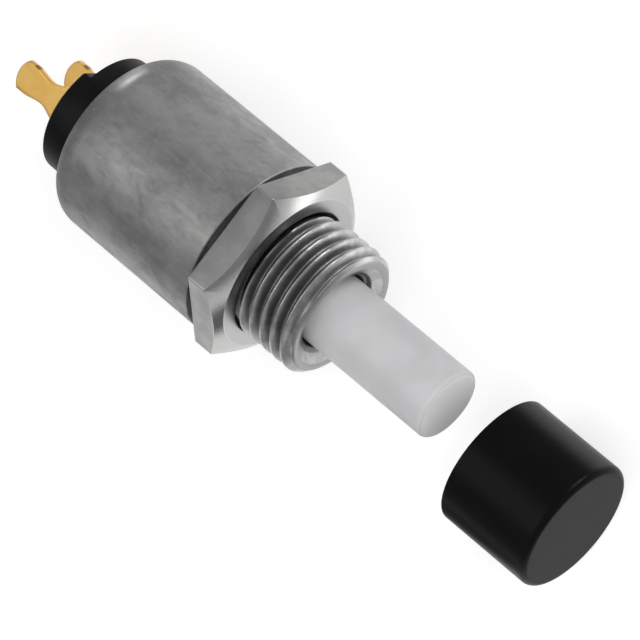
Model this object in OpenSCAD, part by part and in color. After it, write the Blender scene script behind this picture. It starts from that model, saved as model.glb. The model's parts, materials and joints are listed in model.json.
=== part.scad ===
// Panel-mount momentary pushbutton switch, lying on its side with its push-on cap taken off.
// The switch axis is X and the plunger points along +X.
// The origin is on that axis at the nut's front face, where the bushing's free thread starts.

/* [Housing can] */
// Outside diameter of the drawn can
can_d = 8.73; // [8.6:0.01:9.2]
// Length of the can from its front shoulder to its rolled rear edge
can_len = 9.17; // [9:0.01:10.5]
// Wall of the can
can_wall = 0.4; // [0.3:0.01:0.5]
// Thickness of the can's front end
can_front = 0.5; // [0.4:0.01:0.7]
// Radius of the can's front edge
can_edge = 0.25; // [0.1:0.01:0.35]
// Outside radius of the rear edge, rolled in over the base
can_roll = 1.4; // [1.3:0.01:1.6]

/* [Bushing] */
// Major diameter of the bushing's thread
thread_d = 6.35; // [6.2:0.01:6.5]
// Pitch diameter of the thread, where nut and bushing bear on each other
thread_pitch_d = 5.94; // [5.8:0.01:6.1]
// Length of the bushing in front of the can
bushing_len = 5.15; // [4.6:0.01:8]
// Length of the bushing's end chamfer
bushing_chamfer = 0.32; // [0.2:0.01:0.5]
// Diameter of the plain spigot that stands in the can's front end
spigot_d = 6.5; // [6.4:0.01:6.6]
// Thickness of the bushing's flange inside the can
bushing_flange_t = 0.6; // [0.4:0.01:0.8]
// Diameter of the open mouth round the plunger
mouth_d = 4.3; // [4:0.01:4.6]
// Depth of the open mouth
mouth_depth = 2; // [1:0.01:2.6]
// Diameter of the countersink at the bushing's end
mouth_sink_d = 5.2; // [4.8:0.01:5.5]
// Depth of the countersink at the bushing's end
mouth_sink_depth = 0.35; // [0.2:0.01:0.5]

/* [Nut] */
// Width of the hexagon nut across its flats
nut_af = 8.5; // [8.3:0.01:8.6]
// Thickness of the nut
nut_t = 1.85; // [1.6:0.01:2.4]
// Distance from the nut's flats in to the edge of the flat ring on each face
nut_face_inset = 0.25; // [0.1:0.01:0.4]
// Angle of the chamfer on the nut's corners
nut_chamfer_angle = 30; // [20:1:35]
// Distance from the nut's flats in to the countersink on each face
nut_sink_inset = 0.6; // [0.5:0.01:0.9]

/* [Plunger] */
// Diameter of the plunger
plunger_d = 3.47; // [3.2:0.01:3.6]
// Length of the plunger in front of the bushing
plunger_reach = 6.51; // [5:0.01:8]
// Radius round the plunger's end
plunger_edge = 0.25; // [0.1:0.01:0.4]
// Radial gap between the plunger's stop flange and the insulating sleeve
stop_gap = 0.455; // [0.1:0.005:1]
// Thickness of the stop flange
stop_t = 0.8; // [0.5:0.01:1]
// Diameter of the stem behind the stop flange
stem_d = 2.2; // [2:0.01:2.3]
// Diameter of the pilot that centres the return spring
pilot_d = 1.2; // [1:0.01:1.3]
// Length of the pilot
pilot_len = 0.7; // [0.4:0.01:0.8]
// Length of stem left behind the retaining clip
stem_tail = 0.3; // [0.2:0.01:0.4]
// Travel of the plunger from rest to full press
travel = 1.5; // [1:0.01:1.6]

/* [Contacts] */
// Radial gap between the moving contact disc and the insulating sleeve
disc_gap = 0.355; // [0.2:0.005:0.5]
// Thickness of the moving contact disc
disc_t = 0.25; // [0.2:0.01:0.35]
// Diameter of each fixed contact button
button_d = 1; // [0.8:0.01:1.1]
// Height of each fixed contact button
button_h = 0.3; // [0.2:0.01:0.4]
// Distance from the disc's edge in to each fixed contact button
button_inset = 0.05; // [0:0.01:0.1]
// Outside diameter of the retaining clip
clip_d = 3; // [2.8:0.01:3.1]
// Diameter of the groove that holds the clip
clip_groove_d = 1.8; // [1.6:0.01:1.9]
// Thickness of the retaining clip
clip_t = 0.28; // [0.2:0.01:0.35]
// Width of the clip's open mouth
clip_mouth = 1.3; // [1.1:0.01:1.5]

/* [Springs] */
// Wire of both springs
wire_d = 0.22; // [0.16:0.01:0.26]
// Mean diameter of the return spring
return_coil_d = 1.7; // [1.6:0.01:1.8]
// Turns of the return spring
return_turns = 5; // [3:0.5:6]
// Mean diameter of the contact spring
contact_coil_d = 2.7; // [2.6:0.01:3]
// Turns of the contact spring
contact_turns = 4; // [3:0.5:6]

/* [Base] */
// Radial distance from the can's outside in to the base's boss, which stands out of the can
boss_inset = 1.265; // [1.2:0.005:1.35]
// Height of the boss behind the can
boss_h = 1.5; // [1.2:0.01:2.2]
// Chamfer round the boss
boss_chamfer = 0.12; // [0.05:0.01:0.25]
// Thickness of the base's disc inside the can
base_disc_t = 1.2; // [0.8:0.01:1.5]
// Height of the lower ledge on one side of the boss
ledge_h = 1.05; // [0.7:0.01:1.1]
// Distance of the ledge's wall from the axis
ledge_offset = 2.07; // [1.8:0.01:2.4]
// Diameter of the well for the return spring
well_d = 2.4; // [2.3:0.01:2.5]
// Depth of the well
well_depth = 1.5; // [1.4:0.01:1.8]
// Wall of the insulating sleeve
sleeve_wall = 0.48; // [0.4:0.01:0.55]

/* [Terminals] */
// Thickness of the terminal strip
lug_t = 0.3; // [0.2:0.01:0.35]
// Distance of each terminal from the axis
lug_offset = 1.8; // [1.7:0.01:1.85]
// Turn of the terminals and the base about the switch axis
lug_turn = 16.5; // [0:0.5:90]
// Reach of each terminal behind the can
lug_reach = 4.7; // [4:0.01:6]
// Width of the terminal's head
lug_head_w = 1.45; // [1.2:0.01:1.6]
// Rise of the head's curved end
lug_head_rise = 0.3; // [0.1:0.01:0.5]
// Length of the head's straight sides
lug_head_side = 0.4; // [0.2:0.01:0.6]
// Width of the terminal's neck
lug_neck_w = 1.14; // [0.9:0.01:1.2]
// Width of the terminal's root behind the base
lug_root_w = 1.8; // [1.5:0.01:2]
// Width of the terminal inside the base
lug_tang_w = 1.2; // [1:0.01:1.3]
// Radial gap between the insulating sleeve and the terminal's foot, which carries the contact
foot_gap = 0.205; // [0.15:0.005:0.4]

/* [Cap] */
// Outside diameter of the cap
cap_d = 6.25; // [5.8:0.01:6.6]
// Length of the cap
cap_len = 4.86; // [4.2:0.01:6]
// Radius round the cap's closed end
cap_edge = 0.31; // [0.1:0.01:0.6]
// Depth of the cap's socket
cap_socket_depth = 3.8; // [3:0.01:4]
// Chamfer at the mouth of the socket
cap_lead = 0.2; // [0.1:0.01:0.4]
// Distance along the axis between the plunger's end and the cap as it lies
cap_gap = 2.58; // [1:0.01:6]
// Sideways distance of the cap's axis from the switch's axis
cap_side = 0.69; // [0:0.01:3]

/* [Fits] */
// Radial running clearance of the plunger in its guide bore and of the disc on its stem
run_fit = 0.04; // [0.02:0.01:0.06]
// Radial clearance of pieces assembled into each other
build_fit = 0.03; // [0.02:0.01:0.05]
// Gap left between faces that meet as the plunger moves
face_gap = 0.02; // [0.01:0.01:0.05]
// Radial clearance of the cap's socket on the plunger
cap_fit = 0.01; // [0.01:0.01:0.03]

/* [Hidden] */

$fn = 72;
arc_steps = 10;
coil_steps = 16;
wire_sides = 6;
past = 1;

can_r = can_d / 2;
bore_r = can_r - can_wall;
seated_r = bore_r - build_fit;
sleeve_r = seated_r - sleeve_wall;
seat_x = -nut_t;
can_rear = seat_x - can_len;
roll_x = can_rear + can_roll;
roll_r = can_r - can_roll;
flange_front = seat_x - can_front;
flange_rear = flange_front - bushing_flange_t;
bushing_end = seat_x + bushing_len;
boss_r = can_r - boss_inset;
boss_rear = can_rear - boss_h;
base_front = roll_x + base_disc_t;
well_floor = base_front - well_depth;
foot_front = base_front + lug_t;
button_front = foot_front + button_h;
disc_rear = button_front + travel + face_gap;
disc_front = disc_rear + disc_t;
clip_front = disc_rear - face_gap;
clip_rear = clip_front - clip_t;
stem_end = clip_rear - stem_tail;
stop_front = flange_rear - face_gap;
stop_rear = stop_front - stop_t;
plunger_end = bushing_end + plunger_reach;
cap_open = plunger_end + cap_gap;
cap_closed = cap_open + cap_len;
cap_drop = can_r - cap_d / 2;

nut_face_r = nut_af / 2 - nut_face_inset;
nut_sink_r = nut_af / 2 - nut_sink_inset;
stop_r = sleeve_r - stop_gap;
disc_r = sleeve_r - disc_gap;
button_offset = disc_r - button_inset - button_d / 2;
lug_inner = lug_offset - lug_t / 2;
foot_len = sleeve_r - foot_gap - lug_inner;

// Points of an arc in the [x, radius] plane, the angle counted from the direction of +X
function arc(cx, cr, r, from, to) =
    [for (i = [0 : arc_steps]) let (a = from + (to - from) * i / arc_steps)
        [cx + r * cos(a), cr + r * sin(a)]];

// Smooth step from one width to another, as half a wave of the cosine
function eased(from, to, t) = from + (to - from) * (1 - cos(180 * t)) / 2;

// Solid of revolution about the X axis of a profile of [x, radius] points
module turned(profile) {
    rotate([0, 90, 0])
        rotate_extrude()
            polygon([for (p = profile) [p[1], p[0]]]);
}

// Cylinder along X from one station to another
module rod(from, to, r) {
    translate([from, 0, 0])
        rotate([0, 90, 0])
            cylinder(h = to - from, r = r);
}

// Coil of round wire about the X axis, one tube swept along its helix, with both ends capped
module coil(from, to, mean_d, turns) {
    rings = ceil(turns * coil_steps);
    wire_r = wire_d / 2;
    span = to - from - wire_d;
    points = [for (i = [0 : rings], k = [0 : wire_sides - 1])
        let (t = i / rings, a = 360 * turns * t, b = 360 * k / wire_sides,
             r = mean_d / 2 + wire_r * cos(b))
        [from + wire_r + span * t + wire_r * sin(b), r * cos(a), r * sin(a)]];
    sides = [for (i = [0 : rings - 1], k = [0 : wire_sides - 1])
        let (n = (k + 1) % wire_sides, a = i * wire_sides, b = a + wire_sides)
        [a + k, a + n, b + n, b + k]];
    first = [for (k = [wire_sides - 1 : -1 : 0]) k];
    last = [for (k = [0 : wire_sides - 1]) rings * wire_sides + k];
    polyhedron(points, concat(sides, [first, last]), convexity = 8);
}

// Drawn can with its rear edge rolled in over the base's shoulder
module housing_can() {
    lip = asin((boss_r + build_fit - roll_r) / (can_roll - can_wall));
    color("darkgray")
        turned(concat(
            [[seat_x, spigot_d / 2 + build_fit]],
            arc(seat_x - can_edge, can_r - can_edge, can_edge, 0, 90),
            arc(roll_x, roll_r, can_roll, 90, 180 - lip),
            arc(roll_x, roll_r, can_roll - can_wall, 180 - lip, 90),
            [[flange_front, bore_r], [flange_front, spigot_d / 2 + build_fit]]));
}

// Turned bushing: flange inside the can, spigot through its end, thread and open mouth
module threaded_bushing() {
    guide_r = plunger_d / 2 + run_fit;
    thread_r = thread_d / 2;
    color("silver")
        turned([
            [flange_rear, guide_r],
            [flange_rear, seated_r],
            [flange_front, seated_r],
            [flange_front, spigot_d / 2],
            [seat_x, spigot_d / 2],
            [seat_x, thread_pitch_d / 2],
            [0, thread_pitch_d / 2],
            [0, thread_r],
            [bushing_end - bushing_chamfer, thread_r],
            [bushing_end, thread_r - bushing_chamfer],
            [bushing_end, mouth_sink_d / 2],
            [bushing_end - mouth_sink_depth, mouth_d / 2],
            [bushing_end - mouth_depth, mouth_d / 2],
            [bushing_end - mouth_depth, guide_r]]);
}

// Plain hexagon nut, chamfered and countersunk on both faces, one flat down
module hex_nut() {
    corner_r = nut_af / sqrt(3);
    corner_drop = (corner_r - nut_face_r) * tan(nut_chamfer_angle);
    hole_r = thread_pitch_d / 2 + build_fit;
    sink_drop = nut_sink_r - hole_r;
    color("lightgray")
        difference() {
            intersection() {
                translate([seat_x, 0, 0])
                    rotate([0, 90, 0])
                        rotate([0, 0, 30])
                            cylinder(h = nut_t, r = corner_r, $fn = 6);
                turned([
                    [seat_x, 0],
                    [seat_x, nut_face_r],
                    [seat_x + corner_drop, corner_r],
                    [-corner_drop, corner_r],
                    [0, nut_face_r],
                    [0, 0]]);
            }
            rod(seat_x - past, past, hole_r);
            turned([[past, 0], [past, nut_sink_r + past], [-sink_drop, hole_r], [-sink_drop, 0]]);
            turned([
                [seat_x - past, 0],
                [seat_x - past, nut_sink_r + past],
                [seat_x + sink_drop, hole_r],
                [seat_x + sink_drop, 0]]);
        }
}

// Moulded plunger: shaft, stop flange, stem with the clip's groove, and spring pilot
module plunger() {
    shaft_r = plunger_d / 2;
    stem_r = stem_d / 2;
    color("whitesmoke")
        turned(concat(
            [[stem_end - pilot_len, 0],
             [stem_end - pilot_len, pilot_d / 2],
             [stem_end, pilot_d / 2],
             [stem_end, stem_r],
             [clip_rear - face_gap, stem_r],
             [clip_rear - face_gap, clip_groove_d / 2],
             [clip_front + face_gap, clip_groove_d / 2],
             [clip_front + face_gap, stem_r],
             [stop_rear, stem_r],
             [stop_rear, stop_r],
             [stop_front, stop_r],
             [stop_front, shaft_r]],
            arc(plunger_end - plunger_edge, shaft_r - plunger_edge, plunger_edge, 90, 0),
            [[plunger_end, 0]]));
}

// Open clip in the stem's groove, which carries the moving contact
module retaining_clip() {
    color("dimgray")
        difference() {
            rod(clip_rear, clip_front, clip_d / 2);
            rod(clip_rear - past, clip_front + past, clip_groove_d / 2 + face_gap);
            translate([clip_rear - past, 0, -clip_mouth / 2])
                cube([clip_t + 2 * past, clip_d, clip_mouth]);
        }
}

// Disc that bridges the two fixed contacts when the plunger is pressed
module moving_contact() {
    color("gainsboro")
        difference() {
            rod(disc_rear, disc_front, disc_r);
            rod(disc_rear - past, disc_front + past, stem_d / 2 + run_fit);
        }
}

// Spring that holds the disc against the clip and gives under overtravel
module contact_spring() {
    color("slategray")
        coil(disc_front, stop_rear, contact_coil_d, contact_turns);
}

// Spring between the base's well and the stem, which returns the plunger
module return_spring() {
    color("slategray")
        coil(well_floor, stem_end, return_coil_d, return_turns);
}

// Insulating sleeve that lines the can and spaces the base from the bushing's flange
module insulating_sleeve() {
    color("saddlebrown")
        difference() {
            rod(base_front, flange_rear, seated_r);
            rod(base_front - past, flange_rear + past, sleeve_r);
        }
}

// Moulded base: disc, shoulder under the rolled edge, boss with a ledge, well and two slots
module base() {
    shoulder_r = can_roll - can_wall - build_fit;
    shoulder_end = asin((boss_r - roll_r) / shoulder_r);
    color("#202020")
        difference() {
            turned(concat(
                [[base_front, 0], [base_front, seated_r]],
                arc(roll_x, roll_r, shoulder_r, 90, 180 - shoulder_end),
                [[boss_rear + boss_chamfer, boss_r],
                 [boss_rear, boss_r - boss_chamfer],
                 [boss_rear, 0]]));
            rod(well_floor, base_front + past, well_d / 2);
            rotate([lug_turn, 0, 0]) {
                for (side = [0, 1])
                    mirror([0, 0, side])
                        translate([boss_rear - past, -lug_tang_w / 2 - build_fit,
                                   lug_inner - build_fit])
                            cube([base_front - boss_rear + 2 * past,
                                  lug_tang_w + 2 * build_fit,
                                  lug_t + 2 * build_fit]);
                translate([boss_rear - past, ledge_offset, -can_d])
                    cube([boss_h - ledge_h + past, can_d, 2 * can_d]);
            }
        }
}

// Half of the terminal's outline as [x, half width] points from its tip to its inner end
function lug_side() =
    let (tip = can_rear - lug_reach,
         head = lug_head_w / 2,
         end_r = (head * head + lug_head_rise * lug_head_rise) / (2 * lug_head_rise),
         end_a = asin(head / end_r),
         side_end = tip + lug_head_rise + lug_head_side,
         root = boss_rear - lug_t,
         waist = (side_end + root) / 2)
    concat(
        arc(tip + end_r, 0, end_r, 180, 180 - end_a),
        [for (i = [0 : arc_steps]) let (t = i / arc_steps)
            [side_end + (waist - side_end) * t, eased(head, lug_neck_w / 2, t)]],
        [for (i = [1 : arc_steps]) let (t = i / arc_steps)
            [waist + (root - waist) * t, eased(lug_neck_w / 2, lug_root_w / 2, t)]],
        [[boss_rear - face_gap, lug_root_w / 2],
         [boss_rear - face_gap, lug_tang_w / 2],
         [foot_front, lug_tang_w / 2]]);

// Terminal folded from strip: solder lug, tang through the base and foot in front of it
module terminal(side) {
    half = lug_side();
    outline = concat(half, [for (i = [len(half) - 1 : -1 : 1]) [half[i][0], -half[i][1]]]);
    color("goldenrod")
        rotate([lug_turn, 0, 0])
            mirror([0, 0, side])
                union() {
                    translate([0, 0, lug_inner])
                        linear_extrude(height = lug_t)
                            polygon(outline);
                    translate([base_front, -lug_tang_w / 2, lug_inner])
                        cube([lug_t, lug_tang_w, foot_len]);
                }
}

// Contact button on a terminal's foot, with a chamfered crown
module fixed_contact(side) {
    crown = button_h / 3;
    color("silver")
        rotate([lug_turn, 0, 0])
            mirror([0, 0, side])
                translate([0, 0, button_offset])
                    turned([
                        [foot_front, 0],
                        [foot_front, button_d / 2],
                        [button_front - crown, button_d / 2],
                        [button_front, button_d / 2 - crown],
                        [button_front, 0]]);
}

module terminal_upper() {
    terminal(0);
}

module terminal_lower() {
    terminal(1);
}

module fixed_contact_upper() {
    fixed_contact(0);
}

module fixed_contact_lower() {
    fixed_contact(1);
}

// Push-on cap, lying on its side in front of the plunger with its socket towards it
module cap() {
    cap_r = cap_d / 2;
    socket_r = plunger_d / 2 + cap_fit;
    socket_end = cap_open + cap_socket_depth;
    color("#1a1a1a")
        translate([0, -cap_side, -cap_drop])
            turned(concat(
                [[cap_open, socket_r + cap_lead], [cap_open, cap_r]],
                arc(cap_closed - cap_edge, cap_r - cap_edge, cap_edge, 90, 0),
                [[cap_closed, 0],
                 [socket_end, 0],
                 [socket_end, socket_r],
                 [cap_open + cap_lead, socket_r]]));
}

housing_can();
threaded_bushing();
hex_nut();
plunger();
retaining_clip();
moving_contact();
contact_spring();
return_spring();
insulating_sleeve();
base();
terminal_upper();
terminal_lower();
fixed_contact_upper();
fixed_contact_lower();
cap();
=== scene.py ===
"""Looks of a panel-mount pushbutton switch that lies on a pale surface with its cap taken off."""

import json
import math

import bmesh
import bpy
import numpy as np
from mathutils import Matrix, Vector


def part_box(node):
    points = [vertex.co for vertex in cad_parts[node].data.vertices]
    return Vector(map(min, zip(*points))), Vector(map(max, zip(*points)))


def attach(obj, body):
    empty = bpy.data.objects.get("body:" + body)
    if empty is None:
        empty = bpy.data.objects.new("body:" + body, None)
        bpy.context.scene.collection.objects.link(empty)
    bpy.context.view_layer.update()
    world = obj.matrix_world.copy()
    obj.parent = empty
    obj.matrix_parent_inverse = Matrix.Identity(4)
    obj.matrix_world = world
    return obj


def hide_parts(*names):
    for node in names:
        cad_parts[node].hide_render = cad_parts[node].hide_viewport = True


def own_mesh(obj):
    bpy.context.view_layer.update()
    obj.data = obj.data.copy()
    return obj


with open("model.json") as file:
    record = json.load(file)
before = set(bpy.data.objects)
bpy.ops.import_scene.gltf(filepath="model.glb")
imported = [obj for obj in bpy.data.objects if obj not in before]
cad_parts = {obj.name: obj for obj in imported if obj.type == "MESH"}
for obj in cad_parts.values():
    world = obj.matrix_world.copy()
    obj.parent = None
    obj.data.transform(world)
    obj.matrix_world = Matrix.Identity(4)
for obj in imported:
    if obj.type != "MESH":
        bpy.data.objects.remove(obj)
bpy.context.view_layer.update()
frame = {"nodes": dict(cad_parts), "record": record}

MM = 0.001
TURN = 2 * math.pi

# Sizes read from the frame: every station is a place on the switch's axis, X
can_low, can_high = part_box("housing_can")
nut_low, nut_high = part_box("hex_nut")
bushing_low, bushing_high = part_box("threaded_bushing")
plunger_low, plunger_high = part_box("plunger")
base_low, base_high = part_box("base")
lug_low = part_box("terminal_upper")[0]
cap_low, cap_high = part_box("cap")
return_low, return_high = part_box("return_spring")
float_low, float_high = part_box("contact_spring")
floor_z = can_low[2]
seat_x = nut_low[0]
can_r = (can_high[1] - can_low[1]) / 2
nut_af = nut_high[2] - nut_low[2]
cap_r = (cap_high[1] - cap_low[1]) / 2
cap_axis = ((cap_low[1] + cap_high[1]) / 2, (cap_low[2] + cap_high[2]) / 2)

# Sizes that the frame's boxes do not give
can_wall = 0.4 * MM
can_roll = 1.4 * MM
can_edge = 0.07 * MM
can_hole_r = 3.28 * MM
can_front = 0.5 * MM
build_fit = 0.03 * MM
face_gap = 0.02 * MM
thread_r = 3.175 * MM
thread_pitch = 0.635 * MM
thread_depth = 0.385 * MM
thread_pitch_r = 2.97 * MM
thread_chamfer = 0.32 * MM
thread_crest = 0.1
thread_flanks = 0.78
thread_ease = 0.25
thread_start = 0.06 * MM
thread_end = 0.03 * MM
thread_end_drop = 0.02 * MM
spigot_r = 3.25 * MM
flange_t = 0.6 * MM
guide_r = 1.775 * MM
mouth_r = 1.87 * MM
mouth_depth = 2.0 * MM
mouth_sink_r = 2.6 * MM
mouth_sink_depth = 0.5 * MM
nut_hole_r = 3.0 * MM
nut_face_r = 3.86 * MM
nut_sink_r = 3.2 * MM
nut_corner = 0.09 * MM
nut_chamfer = math.radians(30)
nut_seat_r = 3.85 * MM
nut_seat_h = 0.25 * MM
plunger_r = 1.735 * MM
plunger_edge = 0.25 * MM
stop_r = 3.0 * MM
stop_t = 0.8 * MM
stem_r = 1.1 * MM
groove_r = 0.9 * MM
clip_t = 0.28 * MM
stem_tail = 0.3 * MM
pilot_r = 0.6 * MM
pilot_len = 0.7 * MM
boss_r = 3.1 * MM
boss_chamfer = 0.12 * MM
boss_root = 0.1 * MM
ledge_h = 1.05 * MM
ledge_offset = 2.07 * MM
ledge_neck = 0.3 * MM
well_r = 1.2 * MM
well_depth = 1.5 * MM
wire_r = 0.11 * MM
return_turns = 5
float_turns = 4
lug_t = 0.3 * MM
lug_offset = 1.8 * MM
lug_turn = math.radians(16.5)
lug_head_w = 1.45 * MM
lug_head_rise = 0.3 * MM
lug_head_side = 0.4 * MM
lug_neck_w = 1.14 * MM
lug_root_w = 1.8 * MM
lug_tang_w = 1.2 * MM
lug_burr = 0.05 * MM
foot_len = 1.6 * MM
cap_edge = 0.31 * MM
cap_side = 0.3 * MM
socket_r = 1.745 * MM
socket_depth = 3.8 * MM
socket_lead = 0.2 * MM

# Stations and sizes that follow from the ones above
can_rear = can_low[0]
roll_x = can_rear + can_roll
roll_r = can_r - can_roll
inner_r = can_r - can_wall
bushing_end = bushing_high[0]
flange_rear = bushing_low[0]
flange_front = flange_rear + flange_t
nut_sink = nut_sink_r - nut_hole_r
nut_corner_centre = (nut_af / 2 - nut_corner) / math.cos(math.pi / 6)
boss_rear = base_low[0]
base_front = base_high[0]
stop_front = flange_rear - face_gap
stem_end = plunger_low[0] + pilot_len
lug_inner = lug_offset - lug_t / 2

# Camera: where it stands, what it looks at, its turn about its own axis and its field
AIM = Vector((1.966, -0.829, -1.276)) * MM
CAMERA_AZIMUTH = math.radians(13.205)
CAMERA_ELEVATION = math.radians(64.241)
CAMERA_ROLL = math.radians(-64.733)
CAMERA_DISTANCE = 194.9 * MM
CAMERA_LENS = 253.1
CAMERA_CLIP = 10 * MM
SENSOR = 36.0

# Lamps: the way to each in the picture's right, up and towards the camera, its size in metres, its
# power in watts, and whether metal mirrors it
LAMP_DISTANCE = 0.2
LAMPS = {
    "key": ((0.54, 0.65, 0.53), 0.09, 0.12, True),
    "rear": ((-0.26, 0.92, -0.19), 0.05, 0.022, True),
    "side": ((-0.8, 0.1, 0.6), 0.14, 0.06, True),
    "front_fill": ((0.33, -0.24, 0.91), 0.16, 0.18, False),
    "side_fill": ((-0.5, -0.6, 0.6), 0.16, 0.115, False)}

# Surroundings: strengths of the room at the horizon and overhead, of the room in metal, and of the
# floor's own glow, where 1 is white
FLOOR_SIZE = 0.6
ROOM_HORIZON = 0.29
ROOM_OVERHEAD = 0.24
ROOM_IN_METAL = 0.28
FLOOR_TO_CAMERA = 0.56
FLOOR_FAR_LIFT = 0.3
FLOOR_IN_METAL = 0.42
FLOOR_PATCH = 0.9


def direction(azimuth, elevation):
    """Unit vector at an azimuth counted from +X and an elevation above the floor."""
    flat = math.cos(elevation)
    return Vector((flat * math.cos(azimuth), flat * math.sin(azimuth), math.sin(elevation)))


def camera_turn():
    """Turn of the camera: its own Z axis points back at it, then it rolls about that axis."""
    back = direction(CAMERA_AZIMUTH, CAMERA_ELEVATION)
    return back.to_track_quat("Z", "Y") @ Matrix.Rotation(CAMERA_ROLL, 3, "Z").to_quaternion()


def add_camera():
    """Camera on a sphere about its aim, turned about its own axis by the roll."""
    camera = bpy.data.objects.new("camera", bpy.data.cameras.new("camera"))
    camera.data.sensor_width = SENSOR
    camera.data.lens = CAMERA_LENS
    camera.data.clip_start = CAMERA_CLIP
    spot = AIM + CAMERA_DISTANCE * direction(CAMERA_AZIMUTH, CAMERA_ELEVATION)
    camera.matrix_world = Matrix.Translation(spot) @ camera_turn().to_matrix().to_4x4()
    bpy.context.scene.collection.objects.link(camera)
    bpy.context.scene.camera = camera


class Value:
    """A socket of a graph of nodes, so that its maths is written as plain expressions."""

    def __init__(self, graph, socket):
        self.graph = graph
        self.socket = socket

    def maths(self, operation, *others, swap=False):
        """Adds a node of maths, or of vector maths where a vector takes part."""
        values = [self, *others]
        vector = any(isinstance(v, Value) and v.socket.type == "VECTOR" for v in values)
        if swap:
            values.reverse()
        if vector:
            values = [(v, v, v) if isinstance(v, (int, float)) else v for v in values]
        kind = "ShaderNodeVectorMath" if vector else "ShaderNodeMath"
        return self.graph.node(kind, {"operation": operation}, dict(enumerate(values)))

    def __add__(self, other):
        return self.maths("ADD", other)

    def __radd__(self, other):
        return self.maths("ADD", other, swap=True)

    def __sub__(self, other):
        return self.maths("SUBTRACT", other)

    def __rsub__(self, other):
        return self.maths("SUBTRACT", other, swap=True)

    def __mul__(self, other):
        return self.maths("MULTIPLY", other)

    def __rmul__(self, other):
        return self.maths("MULTIPLY", other, swap=True)

    def __mod__(self, other):
        return self.maths("FLOORED_MODULO", other)

    def __rmod__(self, other):
        return self.maths("FLOORED_MODULO", other, swap=True)

    def __abs__(self):
        return self.maths("ABSOLUTE")

    def root(self):
        return self.maths("SQRT")

    def most(self, other):
        return self.maths("MAXIMUM", other)

    def angle_to(self, other):
        return self.maths("ARCTAN2", other)

    def step(self, low, high):
        """0 below low, 1 above high, a smooth step between; the other way if low is the larger."""
        flip = low > high
        ends = {"From Min": min(low, high), "From Max": max(low, high),
                "To Min": 1.0 if flip else 0.0, "To Max": 0.0 if flip else 1.0}
        settings = {"interpolation_type": "SMOOTHSTEP"}
        return self.graph.node("ShaderNodeMapRange", settings, {"Value": self, **ends})


class Graph:
    """The nodes of a material or of the world, all of them added by one method."""

    def __init__(self, tree):
        self.tree = tree
        tree.nodes.clear()

    def node(self, kind, settings=None, inputs=None, output=0):
        """Adds any node: its settings, then each input by name or number, as a link or a value."""
        made = self.tree.nodes.new(kind)
        for key, value in (settings or {}).items():
            setattr(made, key, value)
        for key, value in (inputs or {}).items():
            if isinstance(value, Value):
                self.tree.links.new(value.socket, made.inputs[key])
            else:
                made.inputs[key].default_value = value
        return Value(self, made.outputs[output]) if made.outputs else None

    def rays(self, kind):
        """1 on rays of one kind, Camera, Glossy or Transmission, and 0 on the others."""
        return self.node("ShaderNodeLightPath", output=f"Is {kind} Ray")

    def axis(self, vector, name):
        """One of the three parts of a vector, by its letter."""
        return self.node("ShaderNodeSeparateXYZ", {}, {0: vector}, name)


class Look(Graph):
    """A finish: its nodes end in one shader, and every pattern is worked out in millimetres."""

    def __init__(self, name):
        self.material = bpy.data.materials.new(name)
        self.material.use_nodes = True
        super().__init__(self.material.node_tree)
        self.place = self.node("ShaderNodeTexCoord", output="Object") * (1 / MM)
        self.x, self.y, self.z = (self.axis(self.place, name) for name in "XYZ")

    def noise(self, scale, detail=3.0, roughness=0.55, at=None, stretch=(1, 1, 1), turn=0.0):
        """Cloudy pattern from 0 to 1, scale features in a millimetre, longer where stretch is under 1."""
        sockets = {"Vector": (at or self.place) * stretch, "Scale": scale, "Detail": detail,
                   "Roughness": roughness, "Distortion": turn}
        return self.node("ShaderNodeTexNoise", {}, sockets)

    def rings(self, scale, along=0.0):
        """Fine turned rings: noise read at the distance from the switch's axis, and along it if given."""
        spot = self.node("ShaderNodeCombineXYZ", {}, {0: along, 1: self.distance(y=0.0, z=0.0), 2: 0.0})
        return self.noise(scale, 1, 0.5, at=spot)

    def distance(self, **centre):
        """Distance in millimetres from a place given along two of the axes."""
        first, second = (getattr(self, axis) - at for axis, at in centre.items())
        return (first * first + second * second).root()

    def mix(self, share, first, second):
        """Colour that goes from the first to the second as the share goes from 0 to 1."""
        colours = {6: first, 7: second, 0: share}
        return self.node("ShaderNodeMix", {"data_type": "RGBA", "clamp_factor": True}, colours, 2)

    def clouded(self, cloud, low, high, first, second):
        """Colour that goes from the first to the second where the cloud goes from low to high."""
        return self.mix(cloud.step(low, high), first, second)

    def bump(self, height):
        """Normal of a surface raised by the height, in millimetres."""
        return self.node("ShaderNodeBump", {}, {"Strength": 1.0, "Distance": MM, "Height": height})

    def finish(self, **sockets):
        """Ends the nodes in the shader, with sockets given by name; an underscore stands for a space."""
        named = {key.replace("_", " "): value for key, value in sockets.items()}
        shader = self.node("ShaderNodeBsdfPrincipled", {}, named)
        self.node("ShaderNodeOutputMaterial", {}, {"Surface": shader})
        return self.material


def mm(metres):
    """A length in millimetres, as the patterns take it."""
    return metres / MM


def srgb(r, g=None, b=None):
    """Colour as read off a screen, 0 to 255, turned into light: ((c + 0.055) / 1.055) to the power 2.4."""
    seen = [c / 255 for c in (r, r if g is None else g, r if b is None else b)]
    light = (c / 12.92 if c <= 0.04045 else ((c + 0.055) / 1.055) ** 2.4 for c in seen)
    return tuple(light) + (1.0,)


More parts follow.
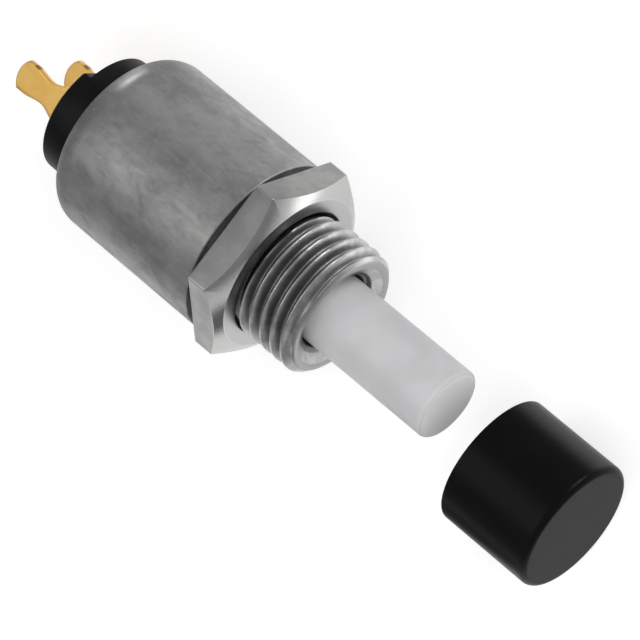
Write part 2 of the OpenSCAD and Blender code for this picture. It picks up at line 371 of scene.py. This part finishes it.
def dull_plating():
    """Can: dull tin plating, softly clouded, darker to the rear, with drawn marks and hair scratches.

    A short streak on the rear edge carries a painted highlight: lighter colour, and a smoother surface there.
    """
    highlight_x, highlight_y, highlight_z = -10.1, 2.55, 3.44
    dark_from, dark_to = -8.0, -11.0
    look = Look("dull plated can")
    cloud = look.noise(0.38, 4, 0.55, stretch=(0.6, 1, 1))
    mottle = look.noise(1.3, 4, 0.6, stretch=(0.7, 1, 1), turn=0.5)
    fine = look.noise(4.5, 4, 0.65, stretch=(0.6, 1, 1))
    drawn = look.noise(9, 3, 0.6, stretch=(0.05, 1, 1))
    grain = look.noise(12, 3, 0.6)
    slant = look.node("ShaderNodeCombineXYZ", {}, {0: look.x + look.y, 1: look.x - look.y, 2: look.z})
    along = look.noise(5.0, 1, 0.5, stretch=(0.05, 1, 1)).step(0.72, 0.76)
    across = look.noise(4.0, 1, 0.5, at=slant, stretch=(0.07, 1, 1)).step(0.7, 0.74)
    worn = look.noise(0.7, 2, 0.5, at=look.place + 31.0).step(0.45, 0.6)
    scratch = along.most(across) * worn
    tone = cloud * 0.4 + mottle * 0.3 + fine * 0.15 + drawn * 0.1 + grain * 0.05
    shade = look.clouded(tone, 0.38, 0.62, srgb(157), srgb(190, 190, 189))
    shade = look.mix(look.x.step(dark_from, dark_to) * 0.35, shade, srgb(126))
    shade = look.mix(scratch * 0.4, shade, srgb(206))
    # Painted highlight: a lighter streak on the rear edge where a lamp's highlight falls, also made smoother
    streak = (look.distance(y=highlight_y, z=highlight_z) + (mottle - 0.5) * 1.2).step(1.2, 0.5)
    highlight_and_polish = streak * abs(look.x - highlight_x).step(0.5, 0.2)
    shade = look.mix(highlight_and_polish * 0.7, shade, srgb(208))
    rough = 0.54 - (mottle - 0.5) * 0.22 + (grain - 0.5) * 0.1 - highlight_and_polish * 0.16
    height = (mottle - 0.5) * 0.009 + (grain - 0.5) * 0.003 + (drawn - 0.5) * 0.003 - scratch * 0.002
    return look.finish(Base_Color=shade, Metallic=1.0, Roughness=rough, Normal=look.bump(height))


def turned_plating():
    """Bushing: bright plating over turned brass, with painted shade in its thread's roots and on its rear
    flanks.

    A rear flank lies at the places in the pitch where the radius rises with x.
    """
    end = mm(bushing_end)
    thread_front = end - mm(thread_chamfer)
    root_r, crest_r = 2.84, 3.13
    look = Look("plated bushing")
    cloud = look.noise(1.5, 4, 0.6)
    grain = look.noise(14, 3, 0.6)
    rings = look.rings(26, along=look.x)
    thread = look.x.step(thread_front + 0.02, thread_front - 0.04) * look.x.step(-2.0, -1.8)
    depth = look.distance(y=0.0, z=0.0).step(crest_r, root_r) * thread
    place = (look.x * (MM / thread_pitch) - look.z.angle_to(look.y) * (1 / TURN)) % 1.0
    shaded_rear_flank = place.step(0.5, 0.6) * place.step(0.97, 0.9) * thread
    shade = look.clouded(cloud, 0.35, 0.65, srgb(186, 186, 185), srgb(214))
    # Painted shade: the thread's roots darker, as if shadowed
    shade = look.mix(depth * 0.5, shade, srgb(96, 96, 95))
    # Painted shade: the thread's rear flanks, turned away from the light, darker
    shade = look.mix(shaded_rear_flank * 0.85, shade, srgb(44))
    shade = look.mix(look.x.step(end - 0.08, end - 0.02), shade, srgb(176, 176, 175))
    rough = 0.36 + (grain - 0.5) * 0.16 + depth * 0.1
    height = (grain - 0.5) * 0.003 + (rings - 0.5) * 0.003
    return look.finish(Base_Color=shade, Metallic=1.0, Roughness=rough, Normal=look.bump(height))


def satin_plating():
    """Nut: nickel plating, satin on the milled flats and brighter on its face and chamfers.

    The upper flat is darker with painted shade, the corners are lighter with a painted highlight, and the
    threaded hole is dark with painted shade.
    """
    corner_r = mm(nut_corner_centre + nut_corner)
    top = mm(nut_af / 2)
    sink_r = mm(nut_sink_r)
    look = Look("plated nut")
    cloud = look.noise(0.9, 4, 0.6)
    grain = look.noise(12, 4, 0.65)
    milled = look.noise(18, 2, 0.5, stretch=(1, 0.1, 0.1))
    rings = look.rings(22)
    nick = look.noise(2.2, 5, 0.7).step(0.66, 0.72)
    r = look.distance(y=0.0, z=0.0)
    chamfer = (look.x + (r - mm(nut_face_r)) * math.tan(nut_chamfer)).step(-0.03, -0.01)
    rear_face = (look.x - mm(seat_x + nut_seat_h)).step(0.03, 0.01)
    bright = chamfer.most(rear_face)
    # Painted shade: the threaded hole and its countersink dark, less metallic and rougher
    hole = r.step(sink_r + 0.01, sink_r - 0.03)
    shade = look.clouded(cloud, 0.35, 0.65, srgb(161, 161, 160), srgb(180, 180, 179))
    # Painted shade: the upper flat darker
    shade = look.mix(look.z.step(top - 0.06, top - 0.02) * 0.5, shade, srgb(112))
    # Painted highlight: the rounded corners lighter
    shade = look.mix(r.step(corner_r - 0.0255, corner_r - 0.0095) * 0.5, shade, srgb(230))
    shade = look.mix(bright, shade, srgb(200, 200, 199))
    shade = look.mix(look.x.step(-0.03, -0.01), shade, srgb(206))
    shade = look.mix(hole * 0.95, shade, srgb(36))
    shade = look.mix(nick * 0.4, shade, srgb(96))
    rough = 0.36 - bright * 0.22 + hole * 0.5 + (grain - 0.5) * 0.12
    marks = (milled - 0.5) * 0.004 * (1 - bright) + (rings - 0.5) * 0.003 * bright
    normal = look.bump((grain - 0.5) * 0.004 + marks)
    return look.finish(Base_Color=shade, Metallic=1 - hole * 0.9, Roughness=rough, Normal=normal)


def white_nylon():
    """Plunger: moulded white nylon, smooth, slightly clouded, with a soft depth of light, painted light on
    its end face and painted shade round its edge.
    """
    tip = mm(plunger_high[0])
    look = Look("white nylon")
    cloud = look.noise(0.7, 3, 0.5)
    grain = look.noise(9, 3, 0.6)
    drawn = look.noise(12, 2, 0.5, stretch=(0.06, 1, 1))
    end = look.x.step(tip - 0.08, tip)
    painted_rim_shade = abs(look.x - tip + 0.05).step(0.1, 0.0)
    shade = look.clouded(cloud, 0.3, 0.7, srgb(203, 203, 205), srgb(211, 211, 213))
    # Painted light: the end face lighter than the side
    shade = look.mix(end, shade, srgb(250, 250, 251))
    # Painted shade: the rounded edge round the end face darker
    shade = look.mix(painted_rim_shade * 0.45, shade, srgb(190, 190, 192))
    rough = 0.46 + (grain - 0.5) * 0.16
    height = (grain - 0.5) * 0.003 + (drawn - 0.5) * 0.003
    return look.finish(Base_Color=shade, Roughness=rough, Normal=look.bump(height),
                       Subsurface_Weight=0.12, Subsurface_Scale=0.4 * MM, IOR=1.53)


def black_mould():
    """Base: black moulded phenolic with a fine satin grain."""
    look = Look("black base")
    cloud = look.noise(1.1, 4, 0.6)
    grain = look.noise(16, 4, 0.65)
    shade = look.clouded(cloud, 0.35, 0.65, srgb(12), srgb(19))
    rough = 0.42 + (grain - 0.5) * 0.2
    return look.finish(Base_Color=shade, Roughness=rough, Normal=look.bump((grain - 0.5) * 0.004),
                       Specular_IOR_Level=0.15)


def gold_plating():
    """Lugs: gold plated strip, satin, with faint rolling lines and painted shade, brown, on the sheared
    edge's shoulder.
    """
    edge_shade_x = -14.9
    look = Look("gold lug")
    cloud = look.noise(1.2, 4, 0.6)
    grain = look.noise(15, 3, 0.6)
    rolled = look.noise(24, 2, 0.5, stretch=(0.05, 1, 1))
    across = look.y * math.cos(lug_turn) + look.z * math.sin(lug_turn)
    edge_shade = across.step(0.58, 0.7) * abs(look.x - edge_shade_x).step(0.22, 0.08)
    shade = look.clouded(cloud, 0.35, 0.65, srgb(246, 196, 106), srgb(250, 206, 122))
    # Painted shade: a brown patch on the sheared edge's shoulder
    shade = look.mix(edge_shade * 0.8, shade, srgb(120, 78, 36))
    rough = 0.34 + (grain - 0.5) * 0.2 + (cloud - 0.5) * 0.1
    height = (grain - 0.5) * 0.004 + (rolled - 0.5) * 0.003
    return look.finish(Base_Color=shade, Metallic=1.0, Roughness=rough, Normal=look.bump(height))


def cap_mould():
    """Cap: black moulded plastic, glossy round its side and finely matt on its flat end."""
    end = mm(cap_high[0])
    side_r = mm(cap_r)
    look = Look("black cap")
    cloud = look.noise(0.8, 3, 0.5)
    grain = look.noise(14, 4, 0.65)
    drawn = look.noise(10, 2, 0.5, stretch=(0.05, 1, 1))
    r = look.distance(y=mm(cap_axis[0]), z=mm(cap_axis[1]))
    flat = look.x.step(end - 0.06, end - 0.01) * r.step(side_r - 0.2, side_r - 0.32)
    glossy, matt = look.mix(cloud, srgb(10), srgb(16)), look.mix(grain, srgb(54), srgb(64))
    rough = 0.3 + flat * 0.3 + (cloud - 0.5) * 0.08
    height = (grain - 0.5) * 0.006 * flat + (drawn - 0.5) * 0.003 * (1 - flat)
    return look.finish(Base_Color=look.mix(flat, glossy, matt), Roughness=rough, Normal=look.bump(height),
                       Specular_IOR_Level=0.09)


def blued_steel():
    """Springs and clip: drawn wire and strip, blued, with fine lines and a little brown."""
    look = Look("spring steel")
    cloud = look.noise(2.5, 4, 0.6)
    grain = look.noise(20, 3, 0.6)
    shade = look.clouded(cloud, 0.4, 0.7, srgb(150, 151, 155), srgb(112, 104, 98))
    return look.finish(Base_Color=shade, Metallic=1.0, Roughness=0.3 + (grain - 0.5) * 0.2,
                       Normal=look.bump((grain - 0.5) * 0.003))


def plated_silver():
    """Disc and contact buttons: silver plating with a faint warm tarnish and turned rings."""
    look = Look("contact silver")
    cloud = look.noise(1.8, 4, 0.6)
    rings = look.rings(20)
    shade = look.clouded(cloud, 0.45, 0.75, srgb(232, 230, 225), srgb(196, 184, 158))
    return look.finish(Base_Color=shade, Metallic=1.0, Roughness=0.2 + cloud * 0.15,
                       Normal=look.bump((rings - 0.5) * 0.003))


def brown_fibre():
    """Sleeve: brown insulating fibre with short strands pressed into it."""
    look = Look("sleeve fibre")
    strands = look.noise(7, 4, 0.65, stretch=(0.2, 1, 1))
    speck = look.noise(22, 2, 0.5)
    shade = look.clouded(strands, 0.35, 0.65, srgb(122, 74, 44), srgb(158, 104, 66))
    return look.finish(Base_Color=shade, Roughness=0.65 + (speck - 0.5) * 0.2,
                       Normal=look.bump((strands - 0.5) * 0.01))


def arc(cx, cr, r, start, end, steps=14):
    """Points of an arc in the plane of x and radius: centre plus r times cosine and sine, in degrees."""
    a = np.radians(np.linspace(start, end, steps + 1))
    return np.stack([cx + r * np.cos(a), cr + r * np.sin(a)], axis=1)


def softened(corners, width=0.04 * MM, steps=3):
    """Rows of points with each inner corner cut by a short curve.

    The curve is the quadratic blend of the two points that lie width away from the corner on its
    two sides, or a third of the side where that is less, with the corner as its control point.
    """
    p = np.asarray(corners, float)
    before, here, after = p[:-2], p[1:-1], p[2:]

    def towards(other):
        side = other - here
        length = np.maximum(np.linalg.norm(side, axis=-1, keepdims=True), 1e-9)
        return (here + side / length * np.minimum(width, length / 3))[:, None]

    t = np.linspace(0, 1, steps + 1).reshape(1, -1, *[1] * (p.ndim - 1))
    curve = (1 - t) ** 2 * towards(before) + 2 * t * (1 - t) * here[:, None] + t ** 2 * towards(after)
    return np.concatenate([p[:1], curve.reshape(-1, *p.shape[1:]), p[-1:]])


def ring(x, radius, a):
    """One row of a turned grid: a station and a radius for each of the angles a."""
    return np.stack([np.broadcast_to(x, a.shape), np.broadcast_to(radius, a.shape)], axis=-1)


def turned(profile, angles=None, axis=(0.0, 0.0)):
    """Grid of a body of revolution: x and radius of the profile carried round a line along X.

    The profile may also have its own x and radius for each angle, shaped (rows, angles, 2).
    """
    p = np.asarray(profile, float)
    a = np.linspace(0, TURN, 256, endpoint=False) if angles is None else angles
    if p.ndim == 2:
        p = np.repeat(p[:, None], len(a), axis=1)
    y = axis[0] + p[..., 1] * np.cos(a)
    z = axis[1] + p[..., 1] * np.sin(a)
    return np.stack([p[..., 0], y, z], axis=-1)


def piece(name, grids, body, slot, material, *replaced):
    """One object made of closed grids of points, each shaped (rows, columns, 3).

    Columns run round each grid and meet, rows that shrink to a point or a line are closed when
    the doubles are merged, and the normals are then turned outwards.
    """
    points, faces, base = [], [], 0
    for g in grids:
        rows, columns = g.shape[:2]
        i, j = np.meshgrid(np.arange(rows - 1), np.arange(columns), indexing="ij")
        k = (j + 1) % columns
        quads = np.stack([i * columns + j, i * columns + k, (i + 1) * columns + k, (i + 1) * columns + j], -1)
        faces.append(quads.reshape(-1, 4) + base)
        points.append(g.reshape(-1, 3))
        base += rows * columns
    mesh = bpy.data.meshes.new(name)
    mesh.from_pydata(np.concatenate(points), [], np.concatenate(faces).tolist())
    shape = bmesh.new()
    shape.from_mesh(mesh)
    bmesh.ops.remove_doubles(shape, verts=shape.verts, dist=2e-8)
    bmesh.ops.dissolve_degenerate(shape, edges=shape.edges, dist=1e-8)
    bmesh.ops.recalc_face_normals(shape, faces=shape.faces)
    shape.to_mesh(mesh)
    shape.free()
    mesh.shade_smooth()
    mesh.set_sharp_from_angle(angle=math.radians(50))
    mesh.materials.append(material)
    made = bpy.data.objects.new(name, mesh)
    bpy.context.scene.collection.objects.link(made)
    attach(made, body)
    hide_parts(*replaced)
    return made


def can_profile():
    """Closed profile of the drawn can: front end, front edge, side, rolled rear edge and inside."""
    lip = math.degrees(math.asin((boss_r + build_fit - roll_r) / (can_roll - can_wall)))
    lip_r = can_roll - can_wall / 2
    lip_a = math.radians(180 - lip)
    lip_x, lip_y = roll_x + lip_r * math.cos(lip_a), roll_r + lip_r * math.sin(lip_a)
    lip_end = arc(lip_x, lip_y, can_wall / 2, 180 - lip, -lip, 8)
    hole_middle = [seat_x - can_front / 2, can_hole_r]
    return np.concatenate([
        softened([hole_middle, [seat_x, can_hole_r], [seat_x, can_r - can_edge]]),
        arc(seat_x - can_edge, can_r - can_edge, can_edge, 0, 90),
        arc(roll_x, roll_r, can_roll, 90, 180 - lip, 28),
        np.clip(lip_end, [can_rear, 0], [0, 1]),
        arc(roll_x, roll_r, can_roll - can_wall, 180 - lip, 90),
        softened([[flange_front, inner_r], [flange_front, can_hole_r], hole_middle])])


def thread_radius(x, a):
    """Radius of the right-hand thread at station x and angle a.

    The place within a pitch is x over the pitch less the share of the turn. The radius falls from
    the crest to the root along a flank that is eased at both ends by a share of a smooth step. The
    end chamfer cuts the crests at 45 degrees, and another lets them rise just in front of the nut.
    """
    place = np.mod(x / thread_pitch - a / TURN, 1.0)
    rise = np.clip((np.abs(2 * place - 1) - thread_crest) / thread_flanks, 0, 1)
    eased = (1 - thread_ease) * rise + thread_ease * rise * rise * (3 - 2 * rise)
    cut = thread_r - np.maximum(x - (bushing_end - thread_chamfer), 0)
    nested = thread_pitch_r + np.maximum(x - thread_start, 0)
    return np.minimum(np.minimum(thread_r - thread_depth * (1 - eased), cut), nested)


def bushing_grid():
    """Rows of the bushing: thread by its own radius at each angle, end face, mouth and flange."""
    a = np.linspace(0, TURN, 288, endpoint=False)
    x = np.linspace(-nut_sink, bushing_end - thread_end, 104)[:, None]
    thread = np.stack([np.broadcast_to(x, (len(x), len(a))), thread_radius(x, a)], axis=-1)
    end_r = thread_r - thread_chamfer
    end_edge = ring(bushing_end, np.minimum(thread[-1, :, 1], end_r) - thread_end_drop, a)
    flange_r = inner_r - build_fit
    rest = softened([
        [bushing_end, (mouth_sink_r + end_r) / 2],
        [bushing_end, mouth_sink_r],
        [bushing_end - mouth_sink_depth, mouth_r],
        [bushing_end - mouth_depth, mouth_r],
        [bushing_end - mouth_depth, guide_r],
        [flange_rear, guide_r],
        [flange_rear, flange_r],
        [flange_front, flange_r],
        [flange_front, spigot_r],
        [seat_x, spigot_r],
        [seat_x, thread_pitch_r],
        [-nut_sink, thread_pitch_r]], 0.03 * MM)
    rest = np.repeat(rest[:, None], len(a), axis=1)
    return turned(np.concatenate([thread, end_edge[None], rest, thread[:1]]), a)


def nut_grid():
    """Rows of the nut, each with its own x and radius at each angle.

    The hexagon's radius is half its width over the cosine of the angle from the nearest flat. Near
    a corner it is that of a small arc whose centre lies on the corner's line. The chamfer is the
    cone that starts at the flat face ring, so it meets a flat the lower, the further out it is.
    The nut stands on a low round seat, so that its rear edges are straight and clear of the can.
    """
    side = TURN / 6
    bend = math.atan2(nut_corner / 2, nut_corner_centre + nut_corner * math.cos(side / 2))
    corner, flat = np.linspace(-bend, bend, 9)[:-1], np.linspace(bend, side - bend, 31)[:-1]
    a = (np.arange(6)[:, None] * side + np.concatenate([corner, flat])).ravel()
    off = np.mod(a + side / 2, side) - side / 2
    past = nut_corner ** 2 - (nut_corner_centre * np.sin(off)) ** 2
    rounded = nut_corner_centre * np.cos(off) + np.sqrt(np.maximum(past, 0))
    hexagon = nut_af / 2 / np.cos(side / 2 - np.abs(off))
    r = np.where(np.abs(off) < bend, rounded, hexagon)
    drop = (r - nut_face_r) * math.tan(nut_chamfer)
    rear = seat_x + nut_seat_h
    rows = np.stack([ring(x, radius, a) for x, radius in (
        (seat_x / 2, nut_hole_r), (-nut_sink, nut_hole_r), (0, nut_sink_r), (0, nut_face_r), (-drop, r),
        (rear, r), (rear, nut_seat_r), (seat_x, nut_seat_r - nut_seat_h / 2),
        (seat_x, nut_sink_r), (seat_x + nut_sink, nut_hole_r), (seat_x / 2, nut_hole_r))])
    return turned(softened(rows, 0.03 * MM, 3), a)


def plunger_profile():
    """Profile of the moulded plunger from its pilot over the clip's groove and stop flange to its end."""
    clip_rear = stem_end + stem_tail
    groove_rear, groove_front = clip_rear - face_gap, clip_rear + clip_t + face_gap
    stop_rear = stop_front - stop_t
    inner = softened([
        [plunger_low[0], 0], [plunger_low[0], pilot_r],
        [stem_end, pilot_r], [stem_end, stem_r],
        [groove_rear, stem_r], [groove_rear, groove_r],
        [groove_front, groove_r], [groove_front, stem_r],
        [stop_rear, stem_r], [stop_rear, stop_r],
        [stop_front, stop_r], [stop_front, plunger_r],
        [bushing_end, plunger_r]], 0.03 * MM)
    tip = plunger_high[0]
    end = arc(tip - plunger_edge, plunger_r - plunger_edge, plunger_edge, 90, 0)
    return np.concatenate([inner, end, [[tip, plunger_r / 2], [tip, 0]]])


def base_grids():
    """Two closed grids: the base turned up to its ledge, and the boss that stands on it.

    The boss is the circle cut by the chord of the ledge's wall: at each angle its radius is the
    lesser of the circle's and the chord's distance over the cosine of the angle from it.
    """
    shoulder = can_roll - can_wall - build_fit
    reach = math.degrees(math.asin((boss_r - roll_r) / shoulder))
    ledge_x = can_rear - ledge_h
    well_x = base_front - well_depth
    front = softened([[well_x, 0], [well_x, well_r], [base_front, well_r], [base_front, inner_r - build_fit]])
    rear = softened([[can_rear + ledge_neck, boss_r], [ledge_x, boss_r], [ledge_x, 0]])
    low = np.concatenate([front, arc(roll_x, roll_r, shoulder, 90, 180 - reach), rear])
    a = np.linspace(0, TURN, 360, endpoint=False)
    off = np.abs(np.mod(a - lug_turn + math.pi, TURN) - math.pi)
    r = np.minimum(boss_r, ledge_offset / np.maximum(np.cos(off), 0.05))
    root = can_rear - boss_root
    boss = np.stack([ring(x, radius, a) for x, radius in (
        (root, 0), (root, r), (boss_rear + boss_chamfer, r), (boss_rear, r - boss_chamfer),
        (boss_rear, r / 2), (boss_rear, 0))])
    return [turned(low), turned(softened(boss, 0.05 * MM, 4), a)]


def lug_outline():
    """Closed outline of a solder lug as points of x and half width.

    The tip is an arc. The sides ease from the head into the neck and out to the root as half a
    wave of the cosine, then step in to the tang, which runs on into the base.
    """
    tip = lug_low[0]
    head, neck, root, tang = lug_head_w / 2, lug_neck_w / 2, lug_root_w / 2, lug_tang_w / 2
    tip_r = (head ** 2 + lug_head_rise ** 2) / (2 * lug_head_rise)
    tip_a = math.degrees(math.asin(head / tip_r))
    side_x = tip + lug_head_rise + lug_head_side
    root_x = boss_rear - lug_t
    waist_x = (side_x + root_x) / 2
    t = np.linspace(0, 1, 15)
    wave = (1 - np.cos(math.pi * t)) / 2
    to_neck = np.stack([side_x + (waist_x - side_x) * t, head + (neck - head) * wave], 1)
    to_root = np.stack([waist_x + (root_x - waist_x) * t, neck + (root - neck) * wave], 1)
    step_x = boss_rear - face_gap
    step = softened([to_root[-1], [step_x, root], [step_x, tang],
                     [base_front + lug_t / 2, tang], [base_front + lug_t, tang]], 0.05 * MM)
    half = np.concatenate([arc(tip + tip_r, 0, tip_r, 180, 180 - tip_a, 18), to_neck, to_root[1:-1], step])
    apart = np.linalg.norm(np.diff(half, axis=0), axis=1) > MM / 1000
    half = half[np.concatenate([[True], apart])]
    return np.concatenate([half, half[:0:-1] * [1, -1]])


def plate(outline, low, high, burr):
    """Closed grid of a flat strip, thick from low to high, with its sheared edges rounded.

    Each row is the outline drawn in along its own normal, and then towards the strip's middle
    line. The rows run from that line out over one face, round the edge and back over the other.
    """
    along = np.roll(outline, -1, axis=0) - np.roll(outline, 1, axis=0)
    out = np.stack([-along[:, 1], along[:, 0]], 1) / np.linalg.norm(along, axis=1)[:, None]
    out *= np.sign(np.sum(out * outline * [0, 1]))
    a = np.linspace(0, math.pi / 2, 5)
    draw_in = burr * (1 - np.sin(a))
    sink_in = burr * (1 - np.cos(a))
    share = np.concatenate([[0.0, 0.5, 0.85], np.ones(10), [0.85, 0.5, 0.0]])
    inset = np.concatenate([np.full(3, burr), draw_in, draw_in[::-1], np.full(3, burr)])
    height = np.concatenate([np.full(3, high), high - sink_in, low + sink_in[::-1], np.full(3, low)])
    flat = outline[None] - inset[:, None, None] * out[None]
    flat[..., 1] *= share[:, None]
    height = np.broadcast_to(height[:, None, None], flat.shape[:2] + (1,))
    return np.concatenate([flat, height], axis=-1)


def lug_grids(side):
    """A folded terminal: the lug with its tang, and the foot across its inner end.

    The strip is made flat at the lug's distance from the axis, on the side that is +1 or -1, and
    then turned about the switch's axis.
    """
    strip = plate(lug_outline(), lug_inner, lug_inner + lug_t, lug_burr)
    half = lug_tang_w / 2
    reach = np.linspace(lug_inner, lug_inner + foot_len, 9)
    edge = np.stack([np.concatenate([reach, reach[::-1]]), np.repeat([half, -half], len(reach))], 1)
    foot = plate(edge, base_front, base_front + lug_t, lug_burr)[..., [2, 1, 0]]
    c, s = math.cos(lug_turn), math.sin(lug_turn)

    def turn_about(g):
        x, across, out = g[..., 0], g[..., 1], side * g[..., 2]
        return np.stack([x, across * c - out * s, across * s + out * c], -1)

    return [turn_about(strip), turn_about(foot)]


def cap_profile():
    """Closed profile of the cap: open end with its lead-in, side, rounded closed end and socket."""
    low, high = cap_low[0], cap_high[0]
    lead, floor = low + socket_lead, low + socket_depth
    mouth = [[lead, socket_r], [low, socket_r + socket_lead], [low, cap_r], [low + cap_side, cap_r]]
    return np.concatenate([
        softened(mouth, 0.06 * MM, 4),
        arc(high - cap_edge, cap_r - cap_edge, cap_edge, 90, 0),
        softened([[high, cap_r / 2], [high, 0]]),
        softened([[floor, 0], [floor, socket_r], [lead, socket_r]])])


def coil_grid(low, high, mean_r, turns):
    """Closed grid of a coil spring of round wire between two stations.

    The wire's middle runs round the axis while its station goes from one end to the other, after
    a flat part of a turn at each end, and its section is a circle in the plane of x and radius
    that shrinks to a point at both ends.
    """
    t = np.linspace(0, 1, turns * 40 + 1)
    flat_end = 0.35 / turns
    climb = np.clip((t - flat_end) / (1 - 2 * flat_end), 0, 1)
    r = np.full(len(t), wire_r)
    t, climb, r = (np.concatenate([v[:1], v, v[-1:]]) for v in (t, climb, r))
    r[[0, -1]] = 0
    a = (TURN * turns * t)[:, None]
    b = np.linspace(0, TURN, 14, endpoint=False)[None]
    x = low + wire_r + (high - low - 2 * wire_r) * climb[:, None] + r[:, None] * np.sin(b)
    radius = mean_r + r[:, None] * np.cos(b)
    return np.stack([np.broadcast_to(x, radius.shape), radius * np.cos(a), radius * np.sin(a)], axis=-1)


def add_coil(name, node, body, low, high, turns, joint, steel):
    """A spring of round wire that stands in for its part, on the body that carries it, with a mesh of its
    own.
    """
    mean_r = (high[1] - low[1]) / 2 - wire_r
    coil = piece(name, [coil_grid(low[0], high[0], mean_r, turns)], body, "spring_steel", steel, node)
    joints = {j["name"]: j for j in frame["record"]["behaviour"]["joints"]}
    keep = 1 - joints[joint]["range_m"][1] / (high[0] - low[0])
    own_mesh(coil)


def add_pieces():
    """Every piece that shows, and the springs, on the body that carries each."""
    piece("can", [turned(can_profile())], "switch", "dull_plated_can", dull_plating(), "housing_can")
    piece("bushing", [bushing_grid()], "switch", "plated_bushing", turned_plating(), "threaded_bushing")
    piece("nut", [nut_grid()], "switch", "plated_nut", satin_plating(), "hex_nut")
    button = [turned(plunger_profile())]
    piece("plunger_button", button, "plunger", "white_nylon", white_nylon(), "plunger")
    piece("base_mould", base_grids(), "switch", "black_base", black_mould(), "base")
    gold = gold_plating()
    piece("lug_upper", lug_grids(1), "switch", "gold_lug", gold, "terminal_upper")
    piece("lug_lower", lug_grids(-1), "switch", "gold_lug", gold, "terminal_lower")
    cap = [turned(cap_profile(), axis=cap_axis)]
    piece("loose_cap", cap, "switch", "black_cap", cap_mould(), "cap")
    steel = blued_steel()
    add_coil("return_coil", "return_spring", "switch", return_low, return_high, return_turns,
             "plunger_press", steel)
    add_coil("float_coil", "contact_spring", "plunger", float_low, float_high, float_turns,
             "contact_float", steel)
    silver = plated_silver()
    finishes = {"retaining_clip": steel, "moving_contact": silver, "fixed_contact_upper": silver,
                "fixed_contact_lower": silver, "insulating_sleeve": brown_fibre()}
    for node, finish in finishes.items():
        frame["nodes"][node].material_slots[0].material = finish


def add_floor():
    """Pale floor that keeps the shadow.

    To the camera it reads as white all over. In metal it is bright near the switch, brightest at
    one patch and dim at another, both of which the nut's chamfer mirrors, and its own pale colour
    further away.
    """
    mesh = bpy.data.meshes.new("floor")
    s = FLOOR_SIZE
    corners = [(-s, -s, floor_z), (s, -s, floor_z), (s, s, floor_z), (-s, s, floor_z)]
    mesh.from_pydata(corners, [], [(0, 1, 2, 3)])
    floor = bpy.data.objects.new("floor", mesh)
    bpy.context.scene.collection.objects.link(floor)
    look = Look("pale floor")
    away = look.distance(x=0.0, y=0.0)
    near = away.step(30.0, 14.0)
    patch = look.distance(x=13.0, y=13.0).step(9.0, 4.0)
    dim = look.distance(x=9.0, y=-11.0).step(7.5, 4.0)
    glossy = look.rays("Glossy")
    seen = look.rays("Camera").most(look.rays("Transmission"))
    seen = seen * (FLOOR_TO_CAMERA + away.step(32.0, 70.0) * FLOOR_FAR_LIFT)
    seen = seen + glossy * (near * (1 - dim) * FLOOR_IN_METAL + patch * FLOOR_PATCH)
    pale = look.mix(away.step(70.0, 32.0), srgb(140), srgb(216))
    pale = look.mix(glossy * dim * 0.8, pale, srgb(70))
    diffuse = look.node("ShaderNodeBsdfDiffuse", {}, {"Color": pale})
    glow = look.node("ShaderNodeEmission", {}, {"Color": (1, 1, 1, 1), "Strength": seen})
    both = look.node("ShaderNodeAddShader", {}, {0: diffuse, 1: glow})
    look.node("ShaderNodeOutputMaterial", {}, {"Surface": both})
    mesh.materials.append(look.material)


def add_world():
    """White room that lights the switch softly: white to the camera, and lower in metal."""
    world = bpy.data.worlds.new("surroundings")
    world.use_nodes = True
    room = Graph(world.node_tree)
    height = room.axis(room.node("ShaderNodeTexCoord", output="Generated"), "Z")
    strength = ROOM_HORIZON + height.step(0.0, 0.45) * (ROOM_OVERHEAD - ROOM_HORIZON)
    for kind, least in (("Camera", 1.0), ("Transmission", 1.0), ("Glossy", ROOM_IN_METAL)):
        strength = strength.most(room.rays(kind) * least)
    sky = room.node("ShaderNodeBackground", {}, {"Color": (1, 1, 1, 1), "Strength": strength})
    room.node("ShaderNodeOutputWorld", {}, {"Surface": sky})
    bpy.context.scene.world = world


def add_lamps():
    """Square lamps that face the switch, each at the same distance along its own way."""
    turn = camera_turn()
    for name, (way, size, power, mirrored) in LAMPS.items():
        way = (turn @ Vector(way)).normalized()
        lamp = bpy.data.objects.new(name, bpy.data.lights.new(name, "AREA"))
        lamp.data.size = size
        lamp.data.energy = power
        lamp.visible_glossy = mirrored
        facing = way.to_track_quat("Z", "Y").to_matrix().to_4x4()
        lamp.matrix_world = Matrix.Translation(AIM + LAMP_DISTANCE * way) @ facing
        bpy.context.scene.collection.objects.link(lamp)


add_camera()
add_floor()
add_world()
add_lamps()
add_pieces()

bpy.context.scene.view_settings.view_transform = "Standard"
